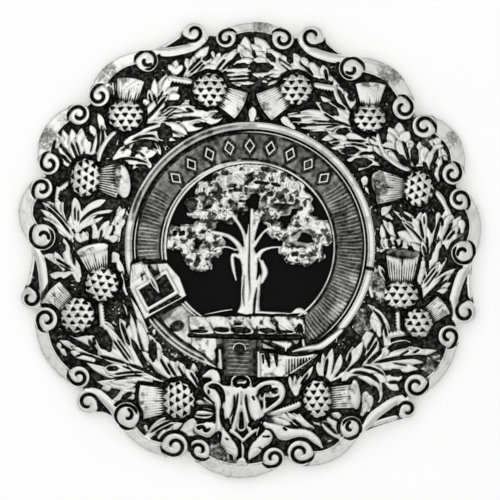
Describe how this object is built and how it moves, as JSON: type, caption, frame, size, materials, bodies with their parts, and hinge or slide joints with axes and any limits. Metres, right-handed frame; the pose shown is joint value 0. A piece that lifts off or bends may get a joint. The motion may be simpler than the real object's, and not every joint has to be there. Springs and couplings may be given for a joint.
{
  "type": "plaid brooch",
  "caption": "Round domed plaid brooch with a scalloped scroll rim, thistles and leaves round a strap-and-buckle ring with a tree, and a pin on its hollow back.",
  "frame": {"origin": "on the surface that the brooch lies on, below the middle of its outline", "axes": "+Z out of the face, +Y towards the top edge as worn, +X to the right seen from the front"},
  "size_m": [0.093, 0.0916, 0.0114],
  "materials": {
    "antique_silver": "cast, polished on the high places and oxidised black in the recesses",
    "black_enamel": "smooth black enamel",
    "badge_silver": "cast, polished on the high places and oxidised dark in the ribs",
    "pin_steel": "plain drawn steel"
  },
  "bodies": {
    "root": {"wreath_plate": "antique_silver", "ground_disc": "black_enamel", "crest_badge": "badge_silver", "pin_clasp": "pin_steel"}
  },
  "joints": []
}
